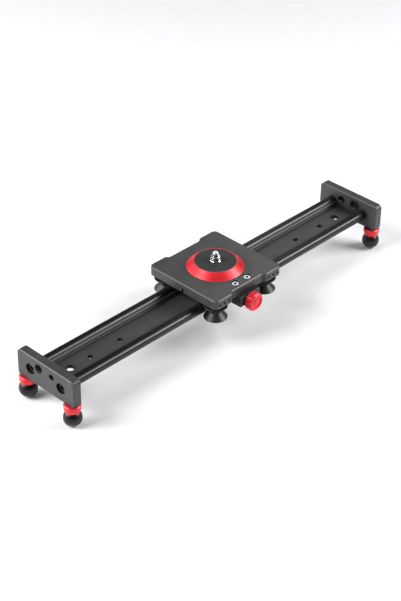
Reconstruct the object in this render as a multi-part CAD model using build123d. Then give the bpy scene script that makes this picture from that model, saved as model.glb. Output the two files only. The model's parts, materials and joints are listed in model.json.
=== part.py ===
from build123d import *

import os

# Camera slider: a 42 cm twin-rail track with a roller carriage, a clamp knob and four screw feet.
# Millimetres, +Z up. X runs along the rail, and -Y is the side with the clamp knob. The origin is
# the mouth of the tripod socket, in the middle of the rail's underside.

# ---- Driving dimensions -------------------------------------------------------------------------
LENGTH = 420.0                 # over the outer faces of the two end plates
WEB_T = 3.6                    # web between the round rails, with its underside at height 0
RAIL_Z = WEB_T + 3.6           # height of the round rails' centre lines
RAIL_Y = 20.0                  # distance of each round rail from the middle
RAIL_R = 5.0
CARRIAGE_X = 4.0               # where the carriage stands at rest
RUNNING_GAP = 0.05             # radial gap of a thread or plug that turns or slides
LOOSE_GAP = 0.15               # gap between faces that rub lightly
THROUGH = 1.0                  # how far a cutter runs past the face it opens

# Standard threads, as radii
R_QUARTER_INCH = 3.175         # 1/4-20
R_THREE_EIGHTHS = 4.7625       # 3/8-16
R_M3, R_M4, R_M5, R_M6 = 1.5, 2.0, 2.5, 3.0
R_QUARTER_ROOT, R_THREE_EIGHTHS_ROOT = 2.55, 4.05

# Hexagon sockets, over their flats
KEY_1_5, KEY_2_5, KEY_3, KEY_4 = 1.5, 2.5, 3.0, 4.0
SOCKET_FLOOR = 0.4             # height of a socket's floor, as a share of the head
HEAD_BEVEL, TIP_BEVEL = 0.1, 0.2       # shares of the head's and the thread's radius

# Rail extrusion
WEB_HALF_W = 19.0
GROOVE_FROM, GROOVE_TO = 15.2, 16.4
GROOVE_FLOOR = WEB_T - 1.5
LIP_FROM, LIP_H = 14.3, 0.8
RAIL_CORE_R = 2.5              # tapping hole along each round rail
BIG_SOCKETS_X = (-180.5, 0.0, 180.5)
SMALL_SOCKETS_X = (-157.0, -120.5, 120.5, 157.0)

# End plates
END_T = 9.0
END_W = 74.0
END_BELOW = 13.2               # below the rails' centre lines
END_ABOVE = 14.6               # above them
END_TOP_R, END_BOTTOM_R = 4.5, 3.0
EDGE_BREAK = 0.6
AXLE_HOLE_Y, AXLE_HOLE_RISE = 8.5, 6.0
END_SCREW_HEAD_R, END_SCREW_HEAD_H = 4.4, 4.6
END_SCREW_POCKET_R, END_SCREW_POCKET = 5.5, 6.8
END_SCREW_L = 18.0
END_SCREW_KEY = KEY_4
END_SCREW_HOLE_R = 3.2

# Feet
FOOT_Y = 29.5
FOOT_BALL_R = 8.75
FOOT_BALL_DROP = 28.0          # ball centre below the rails' centre lines
FOOT_NECK = 7.6                # ball centre to its flat top
FOOT_STUD_TOP = 11.5           # into the end plate
FOOT_HOLE_DEPTH = 12.5
LOCK_RING_R = 8.0
LOCK_RING_FOOT_R = 7.3
LOCK_RING_BEVEL = 0.9
LOCK_RING_TAPER = 0.45         # share of its height

# Carriage plate
CAR_L, CAR_W, CAR_T = 90.0, 88.0, 9.25
CAR_TOP = RAIL_Z + 19.6
CAR_BOTTOM = CAR_TOP - CAR_T
CAR_CORNER_R = 5.0
NOTCH_DEPTH = 3.0
NOTCH_HALF_IN, NOTCH_HALF_OUT = 19.0, 25.0

# Rollers and their bearings
ROLLER_X, ROLLER_Y = 33.2, 32.6
ROLLER_R = 11.3
ROLLER_HALF_H = 6.6
ROLLER_WAIST_R = 5.7
ROLLER_BEVEL = 0.2
BEARING_R, BEARING_W = 5.5, 4.0
BEARING_STEP_R = 3.8           # inside of the outer race
INNER_RACE_R = 3.5
BEARING_RECESS = 0.3           # outer race inside the roller's face
ROLLER_LIP_R = 4.6
BOLT_HEAD_R, BOLT_HEAD_H = 4.25, 2.8
BOLT_IN_PLATE = 6.0
SPACER_R = 3.3

# Preload blocks of the front rollers, and the screws that push them
BLOCK_L, BLOCK_W, BLOCK_H = 17.0, 12.0, 6.0
POCKET_GAP_X, POCKET_GAP_Y = 0.2, 0.6
SET_SCREW_RISE = 14.0          # above the rails' centre lines
SET_SCREW_STEP = 6.0
SET_SCREW_INSET = 0.5

# Camera platform
RING_R, RING_TOP_R, RING_H = 27.6, 20.25, 5.6
PAD_TOP = CAR_TOP + RING_H
PAD_T = 0.8
STUD_RISE = 9.7                # above the pad
STUD_BEVEL = 1.4
UNDERCUT_FROM, UNDERCUT_TO = 5.4, 6.1  # end of the stud's upper thread, above the pad
ADAPTER_RISE = 5.8
ADAPTER_BEVEL = 0.8
ADAPTER_NECK_RISE = 1.6        # end of the bush's thread, above the pad
COLLAR_R, COLLAR_H, COLLAR_BEVEL = 5.4, 1.2, 0.3
STUD_HEAD_R, STUD_HEAD_H, STUD_HEAD_BEVEL = 8.0, 3.0, 0.5
STUD_SLOT_W, STUD_SLOT_DEPTH = 1.8, 1.4
RING_SCREW_CIRCLE_R = 23.6
RING_SCREW_L = 7.5
RING_SCREW_HEAD_R, RING_SCREW_HEAD_H = 2.8, 2.8
RING_SCREW_POCKET_R, RING_SCREW_POCKET = 3.0, 3.0

# Brake
BRAKE_L, BRAKE_BOTTOM = 26.0, RAIL_Z - 0.8
BRAKE_FLOOR = 2.0              # left under the holes of the block's screws
BRAKE_FRONT, BRAKE_BACK = -45.5, -28.0
BRAKE_AXIS_Z = RAIL_Z + 3.3
BRAKE_SCREW_X, BRAKE_SCREW_Y = 8.0, -33.4
BRAKE_SCREW_HEAD_R, BRAKE_SCREW_HEAD_H = 3.5, 4.0
BRAKE_SCREW_POCKET_R, BRAKE_SCREW_POCKET = 4.3, 5.0
PAD_R, PAD_REAR, PAD_NOSE = 2.6, -31.8, -23.0
PAD_BORE_END = -34.0
PAD_TO_RAIL = 0.4
WASHER_FROM, WASHER_TO, WASHER_R = -45.9, -46.6, 6.0
KNOB_R, KNOB_L, KNOB_FACE_R = 9.3, 7.7, 7.5
KNOB_BACK_BEVEL = 0.5
KNOB_FLUTES, FLUTE_R, FLUTE_BITE = 8, 2.8, 0.8
SUNK_RING_R, SUNK_RING_HUB_R, SUNK_RING_DEPTH = 5.8, 3.2, 0.8

# End bumpers of the carriage
BUMPER_Z = RAIL_Z + 12.6
BUMPER_R, BUMPER_STEM_R, BUMPER_IN = 2.0, 1.5, 4.0

SIDES = {"left": -1, "right": 1}       # -X and +X
FACES = {"front": -1, "back": 1}       # -Y and +Y


# ---- Small helpers ------------------------------------------------------------------------------
def rod_x(radius, start, end, y, z):
    """Round bar along X."""
    return Pos((start + end) / 2, y, z) * Rot(0, 90, 0) * Cylinder(radius, abs(end - start))


def rod_y(radius, start, end, x, z):
    """Round bar along Y."""
    return Pos(x, (start + end) / 2, z) * Rot(90, 0, 0) * Cylinder(radius, abs(end - start))


def rod_z(radius, start, end, x, y):
    """Round bar along Z."""
    return Pos(x, y, (start + end) / 2) * Cylinder(radius, abs(end - start))


def block(x_range, y_range, z_range):
    """Rectangular block between three pairs of limits."""
    size = [high - low for low, high in (x_range, y_range, z_range)]
    middle = [(high + low) / 2 for low, high in (x_range, y_range, z_range)]
    return Pos(*middle) * Box(*size)


def hexagon(key):
    """Socket outline for a hexagon key of that width."""
    return RegularPolygon(key / 2, 6, major_radius=False)


def cap_screw(thread_r, length, head_r, head_h, key):
    """Socket cap screw on +Z: the shank runs down from the origin and the head stands on it."""
    head = chamfer(rod_z(head_r, 0, head_h, 0, 0).edges().group_by(Axis.Z)[-1], head_r * HEAD_BEVEL)
    shank = chamfer(rod_z(thread_r, -length, 0, 0, 0).edges().group_by(Axis.Z)[0], thread_r * TIP_BEVEL)
    socket = extrude(Pos(0, 0, head_h * SOCKET_FLOOR) * hexagon(key), head_h)
    return head + shank - socket


def set_screw(thread_r, length, key):
    """Headless screw that starts at the origin and runs along -Z, with its socket on top."""
    socket = extrude(Pos(0, 0, -length * SOCKET_FLOOR) * hexagon(key), length)
    return rod_z(thread_r, -length, 0, 0, 0) - socket


def corners(x, y):
    """The four combinations of signs, as positions."""
    return [(sx * x, sy * y) for sx in SIDES.values() for sy in FACES.values()]


# ---- Track --------------------------------------------------------------------------------------
def rail_extrusion():
    """Two round rails joined by a flat web, with a lip and a groove beside each rail."""
    section = Pos(0, WEB_T / 2) * Rectangle(2 * WEB_HALF_W, WEB_T)
    groove_w, groove_h = GROOVE_TO - GROOVE_FROM, WEB_T - GROOVE_FLOOR
    lip_w = GROOVE_FROM - LIP_FROM
    for side in FACES.values():
        groove_y = side * (GROOVE_FROM + GROOVE_TO) / 2
        lip_y = side * (LIP_FROM + GROOVE_FROM) / 2
        section -= Pos(groove_y, GROOVE_FLOOR + groove_h / 2) * Rectangle(groove_w, groove_h)
        section += Pos(side * RAIL_Y, RAIL_Z) * Circle(RAIL_R)
        section += Pos(lip_y, WEB_T + LIP_H / 2) * Rectangle(lip_w, LIP_H)
        section -= Pos(side * RAIL_Y, RAIL_Z) * Circle(RAIL_CORE_R)
    rail = extrude(Plane.YZ * section, LENGTH / 2 - END_T, both=True)
    for x in BIG_SOCKETS_X:
        rail -= rod_z(R_THREE_EIGHTHS, -THROUGH, WEB_T + THROUGH, x, 0)
    for x in SMALL_SOCKETS_X:
        rail -= rod_z(R_QUARTER_INCH, -THROUGH, WEB_T + THROUGH, x, 0)
    return rail


def end_plate():
    """Right-hand end plate; the left one is the same plate turned half round about Z."""
    inner, outer = LENGTH / 2 - END_T, LENGTH / 2
    bottom, top = RAIL_Z - END_BELOW, RAIL_Z + END_ABOVE
    plate = block((inner, outer), (-END_W / 2, END_W / 2), (bottom, top))
    along_x = plate.edges().filter_by(Axis.X)
    plate = fillet(along_x.group_by(Axis.Z)[-1], END_TOP_R)
    along_x = plate.edges().filter_by(Axis.X).group_by(Axis.Z)[0]
    plate = fillet(along_x, END_BOTTOM_R)
    rims = plate.faces().sort_by(Axis.X)[-1].edges() + plate.faces().sort_by(Axis.X)[0].edges()
    plate = chamfer(rims, EDGE_BREAK)
    for side in FACES.values():
        plate -= rod_x(END_SCREW_HOLE_R, inner - THROUGH, outer + THROUGH, side * RAIL_Y, RAIL_Z)
        plate -= rod_x(END_SCREW_POCKET_R, outer - END_SCREW_POCKET, outer + THROUGH, side * RAIL_Y, RAIL_Z)
        foot_place = (outer - END_T / 2, side * FOOT_Y)
        plate -= rod_z(R_M6 + RUNNING_GAP, bottom - THROUGH, bottom + FOOT_HOLE_DEPTH, *foot_place)
    plate -= rod_x(R_THREE_EIGHTHS, inner - THROUGH, outer + THROUGH, -AXLE_HOLE_Y, RAIL_Z + AXLE_HOLE_RISE)
    plate -= rod_x(R_QUARTER_INCH, inner - THROUGH, outer + THROUGH, AXLE_HOLE_Y, RAIL_Z + AXLE_HOLE_RISE)
    return plate


def end_plate_screws():
    """Four cap screws that go through the end plates into the cores of the rails."""
    seat = LENGTH / 2 - END_SCREW_POCKET
    screws = []
    for side, turn in ((-1, -90), (1, 90)):
        for rail_y in (-RAIL_Y, RAIL_Y):
            screw = cap_screw(RAIL_CORE_R, END_SCREW_L, END_SCREW_HEAD_R, END_SCREW_HEAD_H, END_SCREW_KEY)
            screws.append(Pos(side * seat, rail_y, RAIL_Z) * Rot(0, turn, 0) * screw)
    return Compound(children=screws)


def foot_stud(x, y):
    """Threaded stud of one foot: from inside the ball up into the end plate."""
    foot_top = RAIL_Z - END_BELOW
    return rod_z(R_M6, RAIL_Z - FOOT_BALL_DROP, foot_top + FOOT_STUD_TOP, x, y)


def foot_ball(x, y):
    """Rubber ball with a flat top, moulded round the lower end of the stud."""
    centre = RAIL_Z - FOOT_BALL_DROP
    ball = Pos(x, y, centre) * Sphere(FOOT_BALL_R)
    above_neck = (centre + FOOT_NECK, centre + 2 * FOOT_BALL_R)
    cut_w = 2 * FOOT_BALL_R
    ball -= block((x - cut_w, x + cut_w), (y - cut_w, y + cut_w), above_neck)
    return ball - rod_z(R_M6, centre, centre + FOOT_NECK + THROUGH, x, y)


def foot_lock_ring(x, y):
    """Lock nut between the ball and the end plate: bevelled on top, drawn in towards the ball."""
    top = RAIL_Z - END_BELOW - LOOSE_GAP
    bottom = RAIL_Z - FOOT_BALL_DROP + FOOT_NECK + LOOSE_GAP
    height = top - bottom
    taper_h = height * LOCK_RING_TAPER
    bore_r = R_M6 + RUNNING_GAP
    outline = Polyline(
        (bore_r, 0),
        (LOCK_RING_FOOT_R, 0),
        (LOCK_RING_R, taper_h),
        (LOCK_RING_R, height - LOCK_RING_BEVEL),
        (LOCK_RING_R - LOCK_RING_BEVEL, height),
        (bore_r, height),
        close=True,
    )
    return Pos(x, y, bottom) * revolve(Plane.XZ * make_face(outline), Axis.Z)


# ---- Carriage -----------------------------------------------------------------------------------
def notch(side):
    """Shallow waist in one long edge of the carriage plate, with S-shaped ends."""
    edge, floor = CAR_W / 2, CAR_W / 2 - NOTCH_DEPTH
    over = edge + NOTCH_DEPTH
    right_end = Spline(
        (NOTCH_HALF_IN, floor), (NOTCH_HALF_OUT, edge), tangents=((1, 0), (1, 0))
    )
    left_end = mirror(right_end, Plane.YZ)
    rest = [
        Line((-NOTCH_HALF_IN, floor), (NOTCH_HALF_IN, floor)),
        Line((NOTCH_HALF_OUT, edge), (NOTCH_HALF_OUT, over)),
        Line((NOTCH_HALF_OUT, over), (-NOTCH_HALF_OUT, over)),
        Line((-NOTCH_HALF_OUT, over), (-NOTCH_HALF_OUT, edge)),
    ]
    cutter = make_face(Curve() + [right_end, left_end] + rest)
    if side < 0:
        cutter = Rot(0, 0, 180) * cutter
    return extrude(Pos(CARRIAGE_X, 0, CAR_BOTTOM - THROUGH) * cutter, CAR_T + 2 * THROUGH)


def carriage_plate():
    """Top plate of the carriage, with the pockets and holes for everything it carries."""
    outline = Pos(CARRIAGE_X, 0, CAR_BOTTOM) * RectangleRounded(CAR_L, CAR_W, CAR_CORNER_R)
    plate = extrude(outline, CAR_T)
    for side in FACES.values():
        plate -= notch(side)
    plate = chamfer(plate.faces().sort_by(Axis.Z)[-1].edges(), EDGE_BREAK)
    for x, y in corners(ROLLER_X, ROLLER_Y):
        if y > 0:
            plate -= rod_z(R_M5, CAR_BOTTOM - THROUGH, CAR_BOTTOM + BOLT_IN_PLATE, CARRIAGE_X + x, y)
        else:
            plate -= preload_pocket(x)
            plate -= set_screw_holes(x)
    for side in SIDES.values():
        screw_x = CARRIAGE_X + side * BRAKE_SCREW_X
        pocket_floor = CAR_TOP - BRAKE_SCREW_POCKET
        plate -= rod_z(R_M4, CAR_BOTTOM - THROUGH, CAR_TOP, screw_x, BRAKE_SCREW_Y)
        plate -= rod_z(BRAKE_SCREW_POCKET_R, pocket_floor, CAR_TOP + THROUGH, screw_x, BRAKE_SCREW_Y)
        end_x = CARRIAGE_X + side * CAR_L / 2
        plate -= rod_x(BUMPER_STEM_R, end_x - side * BUMPER_IN, end_x + side * THROUGH, 0, BUMPER_Z)
    plate -= rod_z(R_QUARTER_INCH, CAR_BOTTOM - THROUGH, CAR_TOP + THROUGH, CARRIAGE_X, 0)
    for x, y in ring_screw_places():
        plate -= rod_z(R_M3, CAR_BOTTOM - THROUGH, CAR_TOP + THROUGH, x, y)
        plate -= rod_z(RING_SCREW_POCKET_R, CAR_BOTTOM - THROUGH, CAR_BOTTOM + RING_SCREW_POCKET, x, y)
    return plate


def preload_pocket(x):
    """Pocket in the plate's underside for the sliding block of one front roller."""
    half_l, half_w = BLOCK_L / 2 + POCKET_GAP_X, BLOCK_W / 2 + POCKET_GAP_Y
    middle = CARRIAGE_X + x
    return block(
        (middle - half_l, middle + half_l),
        (-ROLLER_Y - half_w, -ROLLER_Y + half_w),
        (CAR_BOTTOM - THROUGH, CAR_BOTTOM + BLOCK_H),
    )


def set_screw_holes(x):
    """Three tapped holes from the plate's front edge into one preload pocket."""
    holes = []
    for step in (-1, 0, 1):
        hole_x = CARRIAGE_X + x + step * SET_SCREW_STEP
        holes.append(rod_y(R_M3, -CAR_W / 2 - THROUGH, -ROLLER_Y, hole_x, RAIL_Z + SET_SCREW_RISE))
    return holes


def preload_blocks():
    """Sliding blocks that carry the front rollers and press them against the rail."""
    blocks = []
    low, high = CAR_BOTTOM, CAR_BOTTOM + BLOCK_H
    for side in SIDES.values():
        middle = CARRIAGE_X + side * ROLLER_X
        body = block(
            (middle - BLOCK_L / 2, middle + BLOCK_L / 2),
            (-ROLLER_Y - BLOCK_W / 2, -ROLLER_Y + BLOCK_W / 2),
            (low, high),
        )
        blocks.append(body - rod_z(R_M5, low - THROUGH, high + THROUGH, middle, -ROLLER_Y))
    return Compound(children=blocks)


def preload_set_screws():
    """Six headless screws that push the preload blocks from the plate's front edge."""
    start = -CAR_W / 2 + SET_SCREW_INSET
    length = -ROLLER_Y - BLOCK_W / 2 - start
    screws = []
    for side in SIDES.values():
        for step in (-1, 0, 1):
            x = CARRIAGE_X + side * ROLLER_X + step * SET_SCREW_STEP
            screw = set_screw(R_M3, length, KEY_1_5)
            screws.append(Pos(x, start, RAIL_Z + SET_SCREW_RISE) * Rot(90, 0, 0) * screw)
    return Compound(children=screws)


def roller(x, y):
    """Hourglass roller: the two 45 degree flanks of its groove touch the round rail."""
    body = Cylinder(ROLLER_R, 2 * ROLLER_HALF_H)
    apex_r = ROLLER_Y - RAIL_Y - (RAIL_R + LOOSE_GAP) * 2**0.5
    outer_r = ROLLER_R + THROUGH
    groove = Polyline(
        (ROLLER_WAIST_R, apex_r - ROLLER_WAIST_R),
        (ROLLER_WAIST_R, ROLLER_WAIST_R - apex_r),
        (outer_r, outer_r - apex_r),
        (outer_r, apex_r - outer_r),
        close=True,
    )
    body -= revolve(Plane.XZ * make_face(groove), Axis.Z)
    rims = body.edges().filter_by(GeomType.CIRCLE).group_by(Axis.Z)
    body = chamfer(rims[0] + rims[-1], ROLLER_BEVEL)
    body -= Cylinder(ROLLER_LIP_R, 2 * ROLLER_HALF_H + 2 * THROUGH)
    seat_floor = ROLLER_HALF_H - BEARING_RECESS - BEARING_W
    for side in (-1, 1):
        body -= rod_z(BEARING_R, side * seat_floor, side * (ROLLER_HALF_H + THROUGH), 0, 0)
    return Pos(CARRIAGE_X + x, y, RAIL_Z) * body


def bearing_outer_races(x, y):
    """Outer races, with balls and shields, of the two bearings in one roller."""
    races = []
    for side in (-1, 1):
        face = side * (ROLLER_HALF_H - BEARING_RECESS)
        race = rod_z(BEARING_R, face - side * BEARING_W, face, 0, 0)
        race -= rod_z(BEARING_STEP_R, face - side * (BEARING_W + THROUGH), face + side * THROUGH, 0, 0)
        races.append(Pos(CARRIAGE_X + x, y, RAIL_Z) * race)
    return Compound(children=races)


def sleeves(spans, outer_r):
    """Sleeves on the four roller bolts, one for each (from, to) span of heights over the rails."""
    made = []
    for x, y in corners(ROLLER_X, ROLLER_Y):
        for low, high in spans:
            sleeve = rod_z(outer_r, low, high, 0, 0) - rod_z(R_M5, low - THROUGH, high + THROUGH, 0, 0)
            made.append(Pos(CARRIAGE_X + x, y, RAIL_Z) * sleeve)
    return Compound(children=made)


def bearing_inner_races():
    """Inner races of the eight roller bearings; they stand still on the bolts."""
    inner_end = ROLLER_HALF_H - BEARING_RECESS - BEARING_W
    outer_end = ROLLER_HALF_H + BEARING_RECESS
    return sleeves([(-outer_end, -inner_end), (inner_end, outer_end)], INNER_RACE_R)


def bearing_spacers():
    """Sleeves between the inner races, and between the upper race and the plate."""
    inner_end = ROLLER_HALF_H - BEARING_RECESS - BEARING_W
    outer_end = ROLLER_HALF_H + BEARING_RECESS
    return sleeves([(-inner_end, inner_end), (outer_end, CAR_BOTTOM - RAIL_Z)], SPACER_R)


def roller_bolts():
    """Button-headed bolts that hold the rollers, put in from below."""
    shoulder = RAIL_Z - ROLLER_HALF_H - BEARING_RECESS
    bolts = []
    for x, y in corners(ROLLER_X, ROLLER_Y):
        length = CAR_BOTTOM + BOLT_IN_PLATE - shoulder
        bolt = cap_screw(R_M5, length, BOLT_HEAD_R, BOLT_HEAD_H, KEY_3)
        bolts.append(Pos(CARRIAGE_X + x, y, shoulder) * Rot(180, 0, 0) * bolt)
    return Compound(children=bolts)


def bumpers():
    """Domed buffers in the middle of the carriage's two ends."""
    dome = Sphere(BUMPER_R, arc_size1=0, align=(Align.CENTER, Align.CENTER, Align.MIN))
    buffer = dome + rod_z(BUMPER_STEM_R, -BUMPER_IN, 0, 0, 0)
    made = []
    for side in SIDES.values():
        place = Pos(CARRIAGE_X + side * CAR_L / 2, 0, BUMPER_Z)
        made.append(place * Rot(0, side * 90, 0) * buffer)
    return Compound(children=made)


# ---- Camera platform ----------------------------------------------------------------------------
def platform_ring():
    """Cone-shaped trim ring round the camera platform."""
    ring = Pos(CARRIAGE_X, 0, CAR_TOP + RING_H / 2) * Cone(RING_R, RING_TOP_R + EDGE_BREAK, RING_H)
    ring -= rod_z(RING_TOP_R, CAR_TOP - THROUGH, CAR_TOP + RING_H + THROUGH, CARRIAGE_X, 0)
    screw_end = CAR_BOTTOM + RING_SCREW_POCKET + RING_SCREW_L
    for x, y in ring_screw_places():
        ring -= rod_z(R_M3, CAR_TOP - THROUGH, screw_end, x, y)
    return ring


def ring_screw_places():
    """Four places under the trim ring."""
    reach = RING_SCREW_CIRCLE_R * 0.5 ** 0.5
    return [(CARRIAGE_X + x, y) for x, y in corners(reach, reach)]


def ring_screws():
    """Cap screws from below that hold the trim ring."""
    screws = []
    for x, y in ring_screw_places():
        screw = cap_screw(R_M3, RING_SCREW_L, RING_SCREW_HEAD_R, RING_SCREW_HEAD_H, KEY_2_5)
        screws.append(Pos(x, y, CAR_BOTTOM + RING_SCREW_POCKET) * Rot(180, 0, 0) * screw)
    return Compound(children=screws)


def platform_disc():
    """Metal disc inside the trim ring."""
    disc = rod_z(RING_TOP_R, CAR_TOP, PAD_TOP - PAD_T, CARRIAGE_X, 0)
    return disc - rod_z(R_QUARTER_INCH, CAR_TOP - THROUGH, PAD_TOP, CARRIAGE_X, 0)


def platform_pad():
    """Thin anti-slip pad that the camera or head rests on."""
    pad = rod_z(RING_TOP_R, PAD_TOP - PAD_T, PAD_TOP, CARRIAGE_X, 0)
    return pad - rod_z(COLLAR_R, PAD_TOP - PAD_T - THROUGH, PAD_TOP + THROUGH, CARRIAGE_X, 0)


def camera_stud():
    """1/4 inch camera screw: a slotted head under the plate and a stud above the pad."""
    stud = rod_z(R_QUARTER_INCH, CAR_BOTTOM, PAD_TOP + STUD_RISE, CARRIAGE_X, 0)
    stud = chamfer(stud.edges().group_by(Axis.Z)[-1], STUD_BEVEL)
    undercut = (PAD_TOP + UNDERCUT_FROM, PAD_TOP + UNDERCUT_TO)
    stud -= rod_z(STUD_HEAD_R, *undercut, CARRIAGE_X, 0) - rod_z(R_QUARTER_ROOT, *undercut, CARRIAGE_X, 0)
    head_bottom = CAR_BOTTOM - STUD_HEAD_H
    head = rod_z(STUD_HEAD_R, head_bottom, CAR_BOTTOM, CARRIAGE_X, 0)
    head = chamfer(head.edges().group_by(Axis.Z)[0], STUD_HEAD_BEVEL)
    slot = block(
        (CARRIAGE_X - STUD_HEAD_R, CARRIAGE_X + STUD_HEAD_R),
        (-STUD_SLOT_W / 2, STUD_SLOT_W / 2),
        (head_bottom - THROUGH, head_bottom + STUD_SLOT_DEPTH),
    )
    return stud + head - slot


def stud_adapter():
    """3/8 inch bush with a collar, screwed over the lower half of the camera stud."""
    low, shoulder, high = PAD_TOP - PAD_T, PAD_TOP + ADAPTER_NECK_RISE, PAD_TOP + ADAPTER_RISE
    bush = rod_z(R_THREE_EIGHTHS, shoulder, high, CARRIAGE_X, 0)
    bush = chamfer(bush.edges().group_by(Axis.Z)[-1], ADAPTER_BEVEL)
    bush += rod_z(R_THREE_EIGHTHS_ROOT, low, shoulder, CARRIAGE_X, 0)
    collar = rod_z(COLLAR_R, low, PAD_TOP + COLLAR_H, CARRIAGE_X, 0)
    bush += chamfer(collar.edges().group_by(Axis.Z)[-1], COLLAR_BEVEL)
    return bush - rod_z(R_QUARTER_INCH, low - THROUGH, high + THROUGH, CARRIAGE_X, 0)


# ---- Brake --------------------------------------------------------------------------------------
def brake_block():
    """Block under the front notch that carries the brake screw."""
    half = BRAKE_L / 2
    body = block(
        (CARRIAGE_X - half, CARRIAGE_X + half), (BRAKE_FRONT, BRAKE_BACK), (BRAKE_BOTTOM, CAR_BOTTOM)
    )
    low_edges = body.edges().group_by(Axis.Z)[0]
    body = chamfer(low_edges, EDGE_BREAK)
    body -= rod_y(R_M5 + RUNNING_GAP, BRAKE_FRONT - THROUGH, BRAKE_BACK + THROUGH, CARRIAGE_X, BRAKE_AXIS_Z)
    body -= rod_y(PAD_R + RUNNING_GAP, PAD_BORE_END, BRAKE_BACK + THROUGH, CARRIAGE_X, BRAKE_AXIS_Z)
    for side in SIDES.values():
        x = CARRIAGE_X + side * BRAKE_SCREW_X
        body -= rod_z(R_M4, BRAKE_BOTTOM + BRAKE_FLOOR, CAR_BOTTOM + THROUGH, x, BRAKE_SCREW_Y)
    return body


def brake_block_screws():
    """Two cap screws that hold the brake block to the plate from above."""
    seat = CAR_TOP - BRAKE_SCREW_POCKET
    length = seat - BRAKE_BOTTOM - BRAKE_FLOOR
    screws = []
    for side in SIDES.values():
        screw = cap_screw(R_M4, length, BRAKE_SCREW_HEAD_R, BRAKE_SCREW_HEAD_H, KEY_3)
        screws.append(Pos(CARRIAGE_X + side * BRAKE_SCREW_X, BRAKE_SCREW_Y, seat) * screw)
    return Compound(children=screws)


def brake_pad():
    """Sliding plug whose nose is hollowed to the rail's shape."""
    plug = rod_y(PAD_R, PAD_REAR, PAD_NOSE, CARRIAGE_X, BRAKE_AXIS_Z)
    reach = 2 * PAD_R
    rail_clearance = rod_x(RAIL_R + PAD_TO_RAIL, CARRIAGE_X - reach, CARRIAGE_X + reach, -RAIL_Y, RAIL_Z)
    return plug - rail_clearance


def brake_screw():
    """Threaded rod from inside the knob to the back of the pad."""
    return rod_y(R_M5, WASHER_TO - KNOB_L / 2, PAD_REAR - LOOSE_GAP, CARRIAGE_X, BRAKE_AXIS_Z)


def brake_washer():
    """Thin plastic washer between the knob and the block."""
    washer = rod_y(WASHER_R, WASHER_TO, WASHER_FROM, CARRIAGE_X, BRAKE_AXIS_Z)
    return washer - rod_y(R_M5, WASHER_TO - THROUGH, WASHER_FROM + THROUGH, CARRIAGE_X, BRAKE_AXIS_Z)


def brake_knob():
    """Fluted knob with a bevelled rim and a sunk ring in its face."""
    knob = Pos(0, 0, KNOB_L / 2) * Cylinder(KNOB_R, KNOB_L)
    knob = chamfer(knob.edges().group_by(Axis.Z)[-1], KNOB_R - KNOB_FACE_R)
    knob = chamfer(knob.edges().group_by(Axis.Z)[0], KNOB_BACK_BEVEL)
    for flute in PolarLocations(KNOB_R - FLUTE_BITE + FLUTE_R, KNOB_FLUTES):
        knob -= flute * Cylinder(FLUTE_R, 3 * KNOB_L)
    sunk_span = (KNOB_L - SUNK_RING_DEPTH, KNOB_L + THROUGH)
    knob -= rod_z(SUNK_RING_R, *sunk_span, 0, 0) - rod_z(SUNK_RING_HUB_R, *sunk_span, 0, 0)
    knob -= rod_z(R_M5, -THROUGH, KNOB_L / 2, 0, 0)
    return Pos(CARRIAGE_X, WASHER_TO, BRAKE_AXIS_Z) * Rot(90, 0, 0) * knob


# ---- Writing the parts --------------------------------------------------------------------------
def track_parts():
    """Everything that stands still: the track and its screws."""
    right = end_plate()
    return {
        "rail_extrusion": rail_extrusion(),
        "end_plate_left": Rot(0, 0, 180) * right,
        "end_plate_right": right,
        "end_plate_screws": end_plate_screws(),
    }


def foot_parts():
    """Stud, ball and lock ring of each of the four feet."""
    parts = {}
    for face, face_sign in FACES.items():
        for side, side_sign in SIDES.items():
            x, y = side_sign * (LENGTH - END_T) / 2, face_sign * FOOT_Y
            parts[f"foot_stud_{face}_{side}"] = foot_stud(x, y)
            parts[f"foot_ball_{face}_{side}"] = foot_ball(x, y)
            parts[f"foot_lock_ring_{face}_{side}"] = foot_lock_ring(x, y)
    return parts


def roller_parts():
    """Each roller and the outer races that turn with it."""
    parts = {}
    for face, face_sign in FACES.items():
        for side, side_sign in SIDES.items():
            x, y = side_sign * ROLLER_X, face_sign * ROLLER_Y
            parts[f"roller_{face}_{side}"] = roller(x, y)
            parts[f"bearing_races_{face}_{side}"] = bearing_outer_races(x, y)
    return parts


def carriage_parts():
    """Everything that rides with the carriage plate."""
    makers = [
        carriage_plate, preload_blocks, preload_set_screws, bearing_inner_races, bearing_spacers,
        roller_bolts, bumpers, platform_ring, ring_screws, platform_disc, platform_pad,
        camera_stud, stud_adapter, brake_block, brake_block_screws,
    ]
    return {make.__name__: make() for make in makers}


def brake_parts():
    """The pieces that move when the brake knob is turned."""
    makers = [brake_pad, brake_screw, brake_washer, brake_knob]
    return {make.__name__: make() for make in makers}


os.makedirs("parts", exist_ok=True)
for group in (track_parts(), foot_parts(), carriage_parts(), roller_parts(), brake_parts()):
    for name, shape in group.items():
        export_step(shape, f"parts/{name}.step")
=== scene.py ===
import json
import math

import bpy
from mathutils import Matrix, Vector


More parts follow.
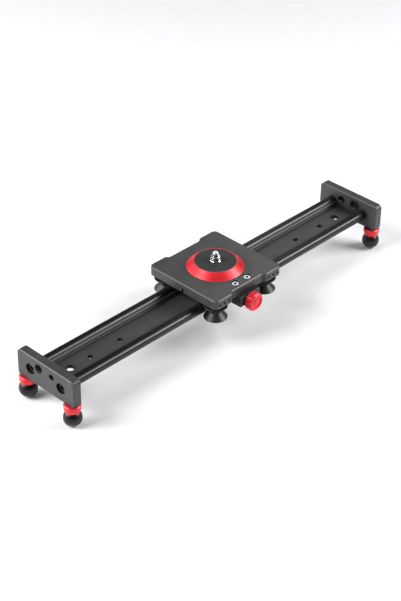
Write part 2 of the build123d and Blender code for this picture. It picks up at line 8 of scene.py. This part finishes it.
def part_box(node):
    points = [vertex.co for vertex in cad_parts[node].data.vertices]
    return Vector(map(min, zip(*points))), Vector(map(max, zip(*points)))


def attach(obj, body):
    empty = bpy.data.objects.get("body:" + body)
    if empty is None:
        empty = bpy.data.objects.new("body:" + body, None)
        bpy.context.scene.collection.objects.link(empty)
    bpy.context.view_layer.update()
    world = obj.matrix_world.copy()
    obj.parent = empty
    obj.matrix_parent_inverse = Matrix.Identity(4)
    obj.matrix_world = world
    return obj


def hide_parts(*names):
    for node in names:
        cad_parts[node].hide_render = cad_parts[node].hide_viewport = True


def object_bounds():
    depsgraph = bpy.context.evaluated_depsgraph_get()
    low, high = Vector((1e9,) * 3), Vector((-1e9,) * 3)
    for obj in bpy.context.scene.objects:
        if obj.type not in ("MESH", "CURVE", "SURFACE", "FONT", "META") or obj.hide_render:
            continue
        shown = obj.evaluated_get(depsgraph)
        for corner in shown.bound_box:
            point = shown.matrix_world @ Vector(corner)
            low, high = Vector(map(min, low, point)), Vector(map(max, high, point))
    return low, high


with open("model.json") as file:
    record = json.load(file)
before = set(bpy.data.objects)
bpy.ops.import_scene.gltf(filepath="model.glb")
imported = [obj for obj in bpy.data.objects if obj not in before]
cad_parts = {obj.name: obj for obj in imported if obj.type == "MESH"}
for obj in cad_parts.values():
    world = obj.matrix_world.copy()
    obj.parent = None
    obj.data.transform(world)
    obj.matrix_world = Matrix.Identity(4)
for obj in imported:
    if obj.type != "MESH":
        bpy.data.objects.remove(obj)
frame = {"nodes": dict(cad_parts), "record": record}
cad_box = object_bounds()

MM = 0.001
NODES = frame["nodes"]
RECORD = frame["record"]
SLOT_OF = {part["node"]: part["material_slot"] for part in RECORD["subparts"]}
BODY_OF = {node: body for body, members in RECORD["behaviour"]["bodies"].items() for node in members}

# Screw threads: pitch for each major radius
PITCH = {3.0: 1.0 * MM, 3.175: 1.27 * MM, 4.7625: 1.5875 * MM}
THREAD_DEPTH = 0.61            # of the pitch
ROOT_FLAT, CREST_FLAT = 0.25, 0.125    # of the pitch
RING_POINTS = 48
ROW_STEP = 0.12 * MM
SHARP_ANGLE = math.radians(35)         # edges that turn more than this are shaded sharp


def middle(node):
    """Centre of a CAD node's box."""
    low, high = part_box(node)
    return (low + high) / 2


# ---- Node helpers -------------------------------------------------------------------------------
NOISE_ROUGHNESS = 0.55
EDGE_SAMPLES = 6
RECESS_SAMPLES = 8
HIDDEN, OPEN = 0.38, 0.93              # how open a place is where the painted shade is full, and where there is none
EDGE, FLAT = 0.80, 0.99                # likeness of the rounded normal and the true one
UPWARD_FROM, UPWARD_FULL = 0.2, 0.5    # upward part of a normal, where the rubbed wear and painted highlight on edges start and are full
DUST_ROUGHNESS = 0.35
BLUE_CAST = 1.02                       # of a neutral colour


class Shader:
    """A material's node tree with short calls for the nodes used here."""

    def __init__(self, name):
        self.material = bpy.data.materials.new(name)
        self.material.use_nodes = True
        self.nodes = self.material.node_tree.nodes
        self.links = self.material.node_tree.links
        self.surface = self.nodes["Principled BSDF"]

    def put(self, socket, value):
        """Sets an input to a value, or links an output to it."""
        if isinstance(value, bpy.types.NodeSocket):
            self.links.new(value, socket)
        else:
            socket.default_value = value

    def node(self, kind, settings=None, **inputs):
        """Adds a node; inputs are given by name, with _ for a space."""
        made = self.nodes.new(kind)
        for key, value in (settings or {}).items():
            setattr(made, key, value)
        for key, value in inputs.items():
            self.put(made.inputs[key.replace("_", " ")], value)
        return made

    def set(self, **inputs):
        """Sets inputs of the surface shader."""
        for key, value in inputs.items():
            self.put(self.surface.inputs[key.replace("_", " ")], value)

    def place(self, stretch=(1, 1, 1)):
        """Position in the part's own frame, stretched along its axes."""
        where = self.node("ShaderNodeTexCoord").outputs["Object"]
        return self.node("ShaderNodeMapping", Vector=where, Scale=stretch).outputs["Vector"]

    def noise(self, scale, detail, stretch=(1, 1, 1)):
        """Noise from 0 to 1, with its scale in cells a metre."""
        made = self.node("ShaderNodeTexNoise", Vector=self.place(stretch), Scale=scale, Detail=detail)
        self.put(made.inputs["Roughness"], NOISE_ROUGHNESS)
        return made.outputs["Fac"]

    def spread(self, value, low, high, from_low=0.3, from_high=0.7):
        """Spreads a value over a new range; the old range's default suits noise."""
        made = self.node("ShaderNodeMapRange", Value=value)
        made.inputs["From Min"].default_value = from_low
        made.inputs["From Max"].default_value = from_high
        made.inputs["To Min"].default_value = low
        made.inputs["To Max"].default_value = high
        return made.outputs["Result"]

    def blend(self, factor, first, second):
        """Mixes two colours; the node's colour sockets are inputs 6 and 7 and output 2."""
        made = self.node("ShaderNodeMix", {"data_type": "RGBA"})
        self.put(made.inputs["Factor"], factor)
        self.put(made.inputs[6], first)
        self.put(made.inputs[7], second)
        return made.outputs[2]

    def bump(self, height, depth):
        """Bump of a given depth in metres."""
        return self.node("ShaderNodeBump", Height=height, Distance=depth, Strength=1.0).outputs["Normal"]

    def math(self, operation, first, second=0.0):
        """Arithmetic on two values."""
        made = self.node("ShaderNodeMath", {"operation": operation})
        self.put(made.inputs[0], first)
        self.put(made.inputs[1], second)
        return made.outputs[0]

    def rounded_normal(self, radius):
        """Normal of the surface as if its edges were rounded."""
        return self.node("ShaderNodeBevel", {"samples": EDGE_SAMPLES}, Radius=radius).outputs["Normal"]

    def edges(self, radius):
        """1 on sharp edges and 0 on flats."""
        rounded = self.rounded_normal(radius)
        flat = self.node("ShaderNodeNewGeometry").outputs["Normal"]
        likeness = self.node("ShaderNodeVectorMath", {"operation": "DOT_PRODUCT"})
        self.put(likeness.inputs[0], rounded)
        self.put(likeness.inputs[1], flat)
        return self.spread(likeness.outputs["Value"], 1.0, 0.0, EDGE, FLAT)

    def worn_and_highlit_edges(self, radius):
        """1 on edges that look upward: rubbed wear, and a painted highlight where light from above
        catches them.
        """
        rounded = self.rounded_normal(radius)
        upward = self.node("ShaderNodeSeparateXYZ", Vector=rounded).outputs["Z"]
        above = self.spread(upward, 0.0, 1.0, UPWARD_FROM, UPWARD_FULL)
        return self.math("MULTIPLY", self.edges(radius), above)

    def painted_recess_shade(self, reach):
        """Mask of painted shade: 1 deep inside holes and corners, and 0 in the open; pieces nearby count
        too.
        """
        made = self.node("ShaderNodeAmbientOcclusion", {"samples": RECESS_SAMPLES}, Distance=reach)
        return self.spread(made.outputs["AO"], 1.0, 0.0, HIDDEN, OPEN)

    def dulled(self, painted_shade):
        """Extra roughness of the dusty film inside recesses."""
        return self.spread(painted_shade, 0.0, DUST_ROUGHNESS, 0.0, 1.0)


def grey(value):
    """Nearly neutral colour, a trace cool."""
    return (value, value, value * BLUE_CAST, 1.0)


# ---- Materials ----------------------------------------------------------------------------------
RECESS_REACH = 14 * MM         # how far away a surface can cast painted shade on a place
# Reach of the painted shade in the threads and sockets of turned metal
SOCKET_SHADE_REACH = 2.5 * MM
WEB_TOP = 3.6 * MM             # of the rail's web, from the origin
WEB_FADE = 0.8 * MM            # from the web's satin to the round rails' polish
LIP_OUTSIDE = 15.2 * MM        # of the lips beside the round rails, from the rail's middle
LIP_FADE = 0.1 * MM
LIP_FOOT, LIP_FULL = 0.60 * MM, 0.75 * MM    # above the web, where the painted highlight on a lip starts and is full


def black_anodised(name, tone, edge_tone, roughness, grain, grain_depth):
    """Black anodised aluminium: dark dye under a clear oxide skin, drawn grain, upper edges lighter from
    rubbed wear and a painted highlight, and painted shade in recesses.
    """
    s = Shader(name)
    drawn = s.noise(5200, 2.0, stretch=grain)
    cloud = s.noise(45, 3.0)
    dye = s.blend(s.spread(cloud, 0.0, 1.0), grey(tone * 0.85), grey(tone * 1.15))
    # Upward edges lighter: rubbed wear and a painted highlight
    rubbed_and_highlit = s.blend(s.worn_and_highlit_edges(0.4 * MM), dye, grey(edge_tone))
    # Painted shade: base colour nearly black deep in holes, corners and near other pieces
    painted_shade = s.painted_recess_shade(RECESS_REACH)
    s.set(Base_Color=s.blend(painted_shade, rubbed_and_highlit, grey(tone * 0.05)))
    s.set(IOR=1.45)
    s.set(Roughness=s.math("ADD", s.spread(drawn, roughness - 0.05, roughness + 0.07), s.dulled(painted_shade)))
    s.set(Normal=s.bump(drawn, grain_depth))
    return s.material


def red_anodised():
    """Red anodised aluminium: bright dyed metal under a clear oxide skin, with turned grain."""
    s = Shader("anodised_red")
    grain = s.noise(3800, 3.0)
    cloud = s.noise(60, 2.0)
    dye = s.blend(s.spread(cloud, 0.0, 1.0), (0.66, 0.010, 0.022, 1), (0.78, 0.018, 0.032, 1))
    s.set(Base_Color=s.blend(s.edges(0.25 * MM), dye, (0.95, 0.22, 0.24, 1)))
    s.set(Metallic=0.35)
    s.set(Roughness=s.spread(grain, 0.34, 0.46))
    s.set(IOR=1.4)
    s.set(Coat_Weight=0.35)
    s.set(Coat_IOR=1.45)
    s.set(Coat_Roughness=0.28)
    s.set(Normal=s.bump(grain, 0.006 * MM))
    return s.material


def rail_black():
    """Black anodised extrusion: polished round rails, a lined satin web, a painted highlight on the lips
    and painted shade in recesses.
    """
    s = Shader("rail_black")
    lines = s.noise(2600, 2.0, stretch=(0.02, 1, 1))
    place = s.node("ShaderNodeSeparateXYZ", Vector=s.place())
    off_middle = s.math("ABSOLUTE", place.outputs["Y"])
    web = s.spread(off_middle, 1.0, 0.0, LIP_OUTSIDE, LIP_OUTSIDE + WEB_FADE)
    # Painted highlight along the tops of the lips beside the round rails
    above_web = s.spread(place.outputs["Z"], 0.0, 1.0, WEB_TOP + LIP_FOOT, WEB_TOP + LIP_FULL)
    inside_lip = s.spread(off_middle, 1.0, 0.0, LIP_OUTSIDE, LIP_OUTSIDE + LIP_FADE)
    lip_highlight = s.math("MULTIPLY", above_web, inside_lip)
    # Painted shade in recesses and near other pieces
    painted_shade = s.painted_recess_shade(RECESS_REACH)
    satin = s.blend(s.spread(lines, 0.0, 1.0), grey(0.034), grey(0.060))
    shaded = s.blend(painted_shade, s.blend(web, grey(0.003), satin), grey(0.003))
    # Upward edges lighter from rubbed wear and a painted highlight, lip tops from a painted highlight
    rubbed_and_highlit = s.math("MAXIMUM", s.worn_and_highlit_edges(0.2 * MM), lip_highlight)
    s.set(Base_Color=s.blend(rubbed_and_highlit, shaded, grey(0.20)))
    s.set(IOR=1.45)
    polish = s.math("ADD", s.spread(web, 0.32, 0.42, 0.0, 1.0), s.spread(lines, -0.04, 0.06))
    s.set(Roughness=s.math("ADD", polish, s.dulled(painted_shade)))
    s.set(Normal=s.bump(lines, 0.008 * MM))
    return s.material


def turned_metal(name, colour, edge_tone, roughness):
    """Lathe-turned metal: fine, even grain, rubbed edges, and painted shade in its threads and sockets.
    """
    s = Shader(name)
    grain = s.noise(3800, 3.0)
    # Painted shade: darker deep in threads and sockets
    painted_shade = s.painted_recess_shade(SOCKET_SHADE_REACH)
    socket_shaded = s.blend(painted_shade, grey(colour), grey(colour * 0.06))
    s.set(Base_Color=s.blend(s.edges(0.2 * MM), socket_shaded, grey(edge_tone)))
    s.set(Metallic=1.0)
    s.set(Roughness=s.spread(grain, roughness - 0.04, roughness + 0.08))
    s.set(Normal=s.bump(grain, 0.006 * MM))
    return s.material


def rubber(name, colour, dust, roughness):
    """Matte rubber with a fine pebbled skin, and dust on the faces that look up."""
    s = Shader(name)
    pebble = s.noise(2400, 4.0)
    bloom = s.noise(1500, 3.0)
    facing = s.node("ShaderNodeSeparateXYZ", Vector=s.node("ShaderNodeTexCoord").outputs["Normal"])
    level = s.spread(facing.outputs["Z"], 0.0, 1.0, 0.93, 0.99)
    dusty = s.blend(s.spread(bloom, 0.0, 1.0), grey(dust * 0.6), grey(dust * 1.5))
    s.set(Base_Color=s.blend(level, grey(colour), dusty))
    s.set(IOR=1.42)
    skin = s.spread(pebble, roughness - 0.06, roughness + 0.1)
    s.set(Roughness=s.math("ADD", skin, s.spread(level, 0.0, 0.25, 0.0, 1.0)))
    s.set(Normal=s.bump(pebble, 0.03 * MM))
    return s.material


def roller_polymer():
    """Glossy black moulded plastic with a trace of flow lines."""
    s = Shader("roller_polymer")
    flow = s.noise(420, 3.0, stretch=(1, 1, 3))
    fine = s.noise(3000, 2.0)
    s.set(Base_Color=s.blend(s.spread(flow, 0.0, 1.0), grey(0.006), grey(0.012)))
    s.set(IOR=1.45)
    s.set(Roughness=s.spread(fine, 0.38, 0.48))
    s.set(Normal=s.bump(fine, 0.01 * MM))
    return s.material


def nylon():
    """Pale natural nylon, slightly mottled."""
    s = Shader("nylon")
    mottle = s.noise(700, 3.0)
    s.set(Base_Color=s.blend(s.spread(mottle, 0.0, 1.0), (0.68, 0.62, 0.56, 1), (0.78, 0.74, 0.69, 1)))
    s.set(Roughness=s.spread(mottle, 0.40, 0.52))
    s.set(Normal=s.bump(mottle, 0.02 * MM))
    return s.material


def floor_material():
    """Plain pale studio floor."""
    s = Shader("studio_floor")
    speck = s.noise(60, 4.0)
    s.set(Base_Color=s.blend(s.spread(speck, 0.0, 1.0), grey(0.90), grey(0.92)))
    s.set(Roughness=s.spread(speck, 0.7, 0.8))
    return s.material


def make_materials():
    """One material for each of the record's slots."""
    return {
        "rail_black": rail_black(),
        "plate_charcoal": black_anodised("plate_charcoal", 0.044, 0.50, 0.38, (1, 1, 0.03), 0.012 * MM),
        "screw_black": black_anodised("screw_black", 0.008, 0.06, 0.30, (1, 1, 1), 0.006 * MM),
        "anodised_red": red_anodised(),
        "rubber_black": rubber("rubber_black", 0.004, 0.025, 0.30),
        "screw_silver": turned_metal("screw_silver", 0.74, 0.85, 0.24),
        "roller_polymer": roller_polymer(),
        "bearing_steel": turned_metal("bearing_steel", 0.55, 0.80, 0.25),
        "nylon": nylon(),
    }


def dress_cad_nodes(materials):
    """Gives every CAD node the finished material of its slot."""
    for node, slot in SLOT_OF.items():
        mesh = NODES[node].data
        mesh.materials.clear()
        mesh.materials.append(materials[slot])


# ---- Threaded pieces ----------------------------------------------------------------------------
def groove_radius(height, turn, radius_mm):
    """Radius of a right-hand thread at a height and a part of a turn."""
    pitch = PITCH[radius_mm]
    from_root = abs((height / pitch - turn) % 1 - 0.5) * 2
    rise = (from_root - ROOT_FLAT) / (1 - ROOT_FLAT - CREST_FLAT)
    return radius_mm * MM - THREAD_DEPTH * pitch * (1 - min(1, max(0, rise)))


def ring(height, radius_at):
    """Points of one round row, whose radius may change with the turn."""
    points = []
    for i in range(RING_POINTS):
        turn = i / RING_POINTS
        radius = radius_at(turn)
        points.append((radius * math.cos(math.tau * turn), radius * math.sin(math.tau * turn), height))
    return points


def fine_rows(outline):
    """Heights and radii along an outline, no further apart than ROW_STEP."""
    rows = [outline[0]]
    for (low, first), (high, last) in zip(outline, outline[1:]):
        parts = max(1, math.ceil(abs(high - low) / ROW_STEP))
        for k in range(1, parts + 1):
            rows.append((low + (high - low) * k / parts, first + (last - first) * k / parts))
    return rows


def mesh_of_rings(name, rings, tube=False):
    """Closed mesh through rings of points: a tube joins the last to the first, and a rod has caps."""
    count = RING_POINTS
    faces = []
    for row in range(len(rings) if tube else len(rings) - 1):
        here, there = row * count, (row + 1) % len(rings) * count
        for i in range(count):
            j = (i + 1) % count
            faces.append((here + i, here + j, there + j, there + i))
    if not tube:
        faces.append(tuple(reversed(range(count))))
        faces.append(tuple(range((len(rings) - 1) * count, len(rings) * count)))
    mesh = bpy.data.meshes.new(name)
    mesh.from_pydata([point for row in rings for point in row], [], faces)
    mesh.shade_smooth()
    mesh.set_sharp_from_angle(angle=SHARP_ANGLE)
    made = bpy.data.objects.new(name, mesh)
    bpy.context.scene.collection.objects.link(made)
    return made


def threaded_rod(name, outline, radius_mm, thread_from, thread_to):
    """Turned piece round Z with a thread cut into one stretch."""
    rings = []
    for height, radius in fine_rows(outline):
        threaded = thread_from < height < thread_to
        rings.append(ring(height, lambda turn: min(radius, groove_radius(height, turn, radius_mm))
                          if threaded else radius))
    return mesh_of_rings(name, rings)


def join_body(piece, body, slot, materials, replaced=()):
    """Gives a new piece its material, its moving body and the CAD nodes that it stands for."""
    piece.data.materials.append(materials[slot])
    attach(piece, body)
    if replaced:
        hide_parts(*replaced)


def stand_in(piece, node, materials):
    """A new piece takes over one CAD node."""
    join_body(piece, BODY_OF[node], SLOT_OF[node], materials, [node])


# Major radii of the camera screw, the bush and the feet: keys of PITCH
STUD_R_MM, BUSH_R_MM, FOOT_R_MM = 3.175, 4.7625, 3.0
# The camera screw's slotted head, thread root, bevelled tip and undercut
HEAD_R, HEAD_SLOT_DEPTH, HEAD_SLOT_W = 8.0 * MM, 1.4 * MM, 1.8 * MM
STUD_ROOT_R, STUD_TIP = 2.55 * MM, 1.4 * MM
UNDERCUT = (5.4 * MM, 6.1 * MM)        # above the pad
# The bush's collar, neck, where its thread starts above the pad, and its bevelled tip
COLLAR_R, COLLAR_RISE, COLLAR_BEVEL = 5.4 * MM, 1.2 * MM, 0.3 * MM
BUSH_ROOT_R, BUSH_THREAD_RISE, BUSH_TIP = 4.05 * MM, 1.6 * MM, 0.8 * MM
FOOT_TIP = 0.5 * MM


def head_half(side, low, high):
    """One of the two lands beside the slot in the camera screw's head."""
    start = math.asin(HEAD_SLOT_W / 2 / HEAD_R)
    arc = [start + (math.pi - 2 * start) * i / RING_POINTS for i in range(RING_POINTS + 1)]
    outline = [(side * HEAD_R * math.cos(a), side * HEAD_R * math.sin(a)) for a in arc]
    points = [(x, y, z) for z in (low, high) for x, y in outline]
    count = len(outline)
    sides = [(i, (i + 1) % count, (i + 1) % count + count, i + count) for i in range(count)]
    ends = [tuple(reversed(range(count))), tuple(range(count, 2 * count))]
    mesh = bpy.data.meshes.new("camera_screw_land")
    mesh.from_pydata(points, [], sides + ends)
    return bpy.data.objects.new("camera_screw_land", mesh)


def camera_screw(materials):
    """1/4 inch camera screw with a slotted head under the plate."""
    low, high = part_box("camera_stud")
    pad_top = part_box("platform_pad")[1].z
    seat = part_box("carriage_plate")[0].z
    axis = Vector((middle("camera_stud").x, middle("camera_stud").y, 0))
    radius = STUD_R_MM * MM
    neck_low, neck_high = pad_top + UNDERCUT[0], pad_top + UNDERCUT[1]
    outline = [
        (low.z + HEAD_SLOT_DEPTH, HEAD_R), (seat, HEAD_R), (seat, radius), (neck_low, radius),
        (neck_low, STUD_ROOT_R), (neck_high, STUD_ROOT_R), (neck_high, radius),
        (high.z - STUD_TIP, radius), (high.z, radius - STUD_TIP),
    ]
    screw = threaded_rod("camera_screw", outline, STUD_R_MM, neck_high, high.z)
    screw.location = axis
    stand_in(screw, "camera_stud", materials)
    for side in (-1, 1):
        land = head_half(side, low.z, low.z + HEAD_SLOT_DEPTH)
        land.location = axis
        bpy.context.scene.collection.objects.link(land)
        join_body(land, BODY_OF["camera_stud"], SLOT_OF["camera_stud"], materials)


def camera_bush(materials):
    """3/8 inch bush with a collar round the camera screw."""
    low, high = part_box("stud_adapter")
    pad_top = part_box("platform_pad")[1].z
    radius = BUSH_R_MM * MM
    collar_top, thread_from = pad_top + COLLAR_RISE, pad_top + BUSH_THREAD_RISE
    outline = [
        (low.z, COLLAR_R), (collar_top - COLLAR_BEVEL, COLLAR_R), (collar_top, COLLAR_R - COLLAR_BEVEL),
        (collar_top, BUSH_ROOT_R), (thread_from, BUSH_ROOT_R), (thread_from, radius),
        (high.z - BUSH_TIP, radius), (high.z, radius - BUSH_TIP),
    ]
    bush = threaded_rod("camera_bush", outline, BUSH_R_MM, thread_from, high.z)
    bush.location = Vector((middle("stud_adapter").x, middle("stud_adapter").y, 0))
    stand_in(bush, "stud_adapter", materials)


def foot_screws(materials):
    """M6 thread on the stud of each foot."""
    radius = FOOT_R_MM * MM
    for node in NODES:
        if node.startswith("foot_stud"):
            low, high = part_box(node)
            outline = [
                (low.z, radius - FOOT_TIP), (low.z + FOOT_TIP, radius),
                (high.z - FOOT_TIP, radius), (high.z, radius - FOOT_TIP),
            ]
            screw = threaded_rod(node.replace("stud", "screw"), outline, FOOT_R_MM, low.z, high.z)
            screw.location = Vector((middle(node).x, middle(node).y, 0))
            stand_in(screw, node, materials)


# Thread ridges in a socket: how far they keep inside its wall and ends, and how deep their backs
# are sunk in the metal round it
SOCKET_INSET = 0.05 * MM
SOCKET_BACKING = 0.3 * MM


def socket_threads(materials):
    """Thread inside each threaded mount of the rail and its end plates."""
    for place in RECORD["mounts"]:
        if place["kind"] == "threaded_hole":
            length = place["dims"]["length_mm"] * MM - 2 * SOCKET_INSET
            radius_mm = place["dims"]["r_mm"]
            backing = radius_mm * MM + SOCKET_BACKING
            wall = radius_mm * MM - SOCKET_INSET
            rings = [ring(length, lambda turn: backing), ring(0, lambda turn: backing)]
            for height, _ in fine_rows([(0, wall), (length, wall)]):
                rings.append(ring(height, lambda turn: min(wall, groove_radius(height, turn, radius_mm))))
            thread = mesh_of_rings(f"{place['name']}_thread", rings, tube=True)
            out = Vector(place["axis"])
            inner_end = Vector(place["pos_m"]) - out * (length + SOCKET_INSET)
            turn = out.to_track_quat("Z", "Y").to_matrix().to_4x4()
            thread.matrix_world = Matrix.Translation(inner_end) @ turn
            join_body(thread, "rail", "screw_black", materials)


# ---- Stage --------------------------------------------------------------------------------------
CAMERA_AIM = Vector((-13.9, 1.5, -5.85)) * MM
CAMERA_AZIMUTH = math.radians(-46.44)
CAMERA_ELEVATION = math.radians(34.71)
CAMERA_ROLL = math.radians(1.05)
CAMERA_DISTANCE = 1.4887
CAMERA_LENS = 93.76
SENSOR_WIDTH = 36.0
CLIP_START = 0.05
FLOOR_HALF = 6.0
WORLD_STRENGTH = 0.12

LIGHTS = [
    # name, azimuth and elevation in degrees, distance and (width, height) in metres, power in watts
    ("streak", 47, 34, 1.6, (0.9, 0.60), 26),
    ("left", -116, 42, 1.6, (0.8, 0.8), 21),
    ("back_left", -140, 20, 1.6, (1.4, 0.4), 20),
    ("top_sheen", 119, 41, 0.42, (0.18, 0.18), 0.14),
]


def direction(azimuth, elevation):
    """Unit vector from the object to a place round it; azimuth 0 is the -Y side."""
    flat = math.cos(elevation)
    return Vector((math.sin(azimuth) * flat, -math.cos(azimuth) * flat, math.sin(elevation)))


def make_camera():
    """Camera at the reference viewing angle."""
    back = direction(CAMERA_AZIMUTH, CAMERA_ELEVATION)
    right = Vector((math.cos(CAMERA_AZIMUTH), math.sin(CAMERA_AZIMUTH), 0))
    up = back.cross(right)
    turn = Matrix((right, up, back)).transposed() @ Matrix.Rotation(CAMERA_ROLL, 3, "Z")
    camera = bpy.data.objects.new("camera", bpy.data.cameras.new("camera"))
    camera.data.lens = CAMERA_LENS
    camera.data.sensor_width = SENSOR_WIDTH
    camera.data.clip_start = CLIP_START
    camera.matrix_world = Matrix.Translation(CAMERA_AIM + back * CAMERA_DISTANCE) @ turn.to_4x4()
    bpy.context.scene.collection.objects.link(camera)
    bpy.context.scene.camera = camera


def make_floor():
    """Pale floor at the level of the lowest point of the feet at rest."""
    half = FLOOR_HALF
    corners = [(-half, -half, 0), (half, -half, 0), (half, half, 0), (-half, half, 0)]
    mesh = bpy.data.meshes.new("floor")
    mesh.from_pydata(corners, [], [(0, 1, 2, 3)])
    mesh.materials.append(floor_material())
    floor = bpy.data.objects.new("floor", mesh)
    floor.location.z = cad_box[0].z
    bpy.context.scene.collection.objects.link(floor)


def softbox(name, azimuth, elevation, distance, size, power):
    """Rectangular soft light that faces the object."""
    light = bpy.data.lights.new(name, "AREA")
    light.shape = "RECTANGLE"
    light.size, light.size_y = size
    light.energy = power
    lamp = bpy.data.objects.new(name, light)
    away = direction(math.radians(azimuth), math.radians(elevation))
    lamp.location = away * distance
    lamp.rotation_mode = "QUATERNION"
    lamp.rotation_quaternion = (-away).to_track_quat("-Z", "Y")
    bpy.context.scene.collection.objects.link(lamp)


def make_lights():
    """Four rectangular soft lamps and a dim, even white surround."""
    for light in LIGHTS:
        softbox(*light)
    world = bpy.data.worlds.new("studio")
    world.use_nodes = True
    background = world.node_tree.nodes["Background"]
    background.inputs["Color"].default_value = (1, 1, 1, 1)
    background.inputs["Strength"].default_value = WORLD_STRENGTH
    bpy.context.scene.world = world
    bpy.context.scene.view_settings.view_transform = "Standard"


make_camera()
make_floor()
make_lights()
finishes = make_materials()
dress_cad_nodes(finishes)
camera_screw(finishes)
camera_bush(finishes)
foot_screws(finishes)
socket_threads(finishes)
